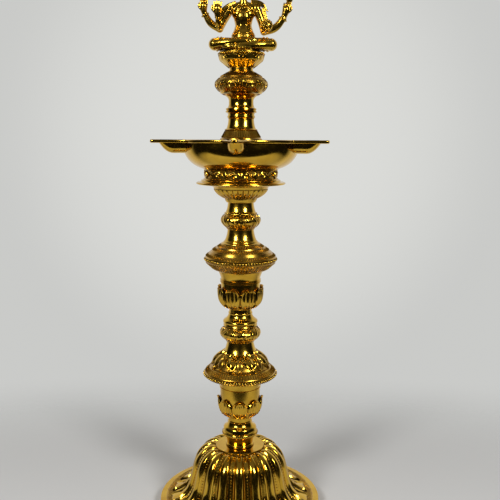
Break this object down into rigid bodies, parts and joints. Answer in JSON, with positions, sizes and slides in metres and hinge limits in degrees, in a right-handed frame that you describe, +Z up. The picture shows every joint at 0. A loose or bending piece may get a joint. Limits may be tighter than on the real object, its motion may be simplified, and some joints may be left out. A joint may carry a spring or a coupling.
{
  "type": "standing oil lamp",
  "caption": "Standing brass oil lamp: lobed round foot, turned column of petal cups and drip discs, oil bowl with wick spouts, and a finial with a seated figure on a lotus.",
  "frame": {"origin": "centre of the foot's underside, on the surface that the lamp stands on", "axes": "+Z up along the column's axis, -Y the front that the figure faces, +X to the right seen from the front"},
  "size_m": [0.19, 0.1924, 0.61],
  "materials": {
    "polished_brass": "turned and cast brass, polished bright, with dark patina left in the recesses",
    "cast_brass": "cast brass, hand chased and polished on its high spots, darker in its folds",
    "plated_steel": "zinc-plated steel, satin"
  },
  "bodies": {
    "foot_and_lower_column": {"foot_bell": "polished_brass", "foot_washer": "plated_steel", "foot_nut": "plated_steel", "lower_tie_rod": "plated_steel", "collar": "polished_brass", "lower_petal_cup": "polished_brass", "lower_drip_disc": "polished_brass", "lower_knop": "polished_brass"},
    "column_rod": {"upper_tie_rod": "plated_steel"},
    "upper_column": {"upper_petal_cup": "polished_brass", "upper_drip_disc": "polished_brass", "upper_knop": "polished_brass"},
    "bowl_rod": {"bowl_stud": "plated_steel"},
    "bowl": {"bowl_seat": "polished_brass", "scroll_band": "polished_brass", "oil_bowl": "polished_brass"},
    "stem_rod": {"stem_rod": "plated_steel"},
    "stem": {"bowl_stem": "polished_brass", "top_knop": "polished_brass"},
    "figure_rod": {"figure_stud": "plated_steel"},
    "figure": {"lotus_seat": "cast_brass", "seated_figure": "cast_brass"}
  },
  "joints": [
    {"name": "column_rise", "type": "slide", "parent": "foot_and_lower_column", "child": "column_rod", "axis": [0, 0, 1], "range_m": [0, 0.0123]},
    {"name": "column_unscrew", "type": "hinge", "parent": "column_rod", "child": "upper_column", "pos_m": [0, 0, 0.236], "axis": [0, 0, 1], "range_deg": [0, 2520]},
    {"name": "bowl_rise", "type": "slide", "parent": "upper_column", "child": "bowl_rod", "axis": [0, 0, 1], "range_m": [0, 0.0123]},
    {"name": "bowl_unscrew", "type": "hinge", "parent": "bowl_rod", "child": "bowl", "pos_m": [0, 0, 0.3565], "axis": [0, 0, 1], "range_deg": [0, 2520]},
    {"name": "stem_rise", "type": "slide", "parent": "bowl", "child": "stem_rod", "axis": [0, 0, 1], "range_m": [0, 0.0123]},
    {"name": "stem_unscrew", "type": "hinge", "parent": "stem_rod", "child": "stem", "pos_m": [0, 0, 0.398], "axis": [0, 0, 1], "range_deg": [0, 2520]},
    {"name": "figure_rise", "type": "slide", "parent": "stem", "child": "figure_rod", "axis": [0, 0, 1], "range_m": [0, 0.0126]},
    {"name": "figure_unscrew", "type": "hinge", "parent": "figure_rod", "child": "figure", "pos_m": [0, 0, 0.501], "axis": [0, 0, 1], "range_deg": [0, 3600]}
  ],
  "couplings": [
    {"joint": "column_rise", "follows": "column_unscrew", "m_per_rad": 0.00027852},
    {"joint": "bowl_rise", "follows": "bowl_unscrew", "m_per_rad": 0.00027852},
    {"joint": "stem_rise", "follows": "stem_unscrew", "m_per_rad": 0.00027852},
    {"joint": "figure_rise", "follows": "figure_unscrew", "m_per_rad": 0.00019894}
  ]
}
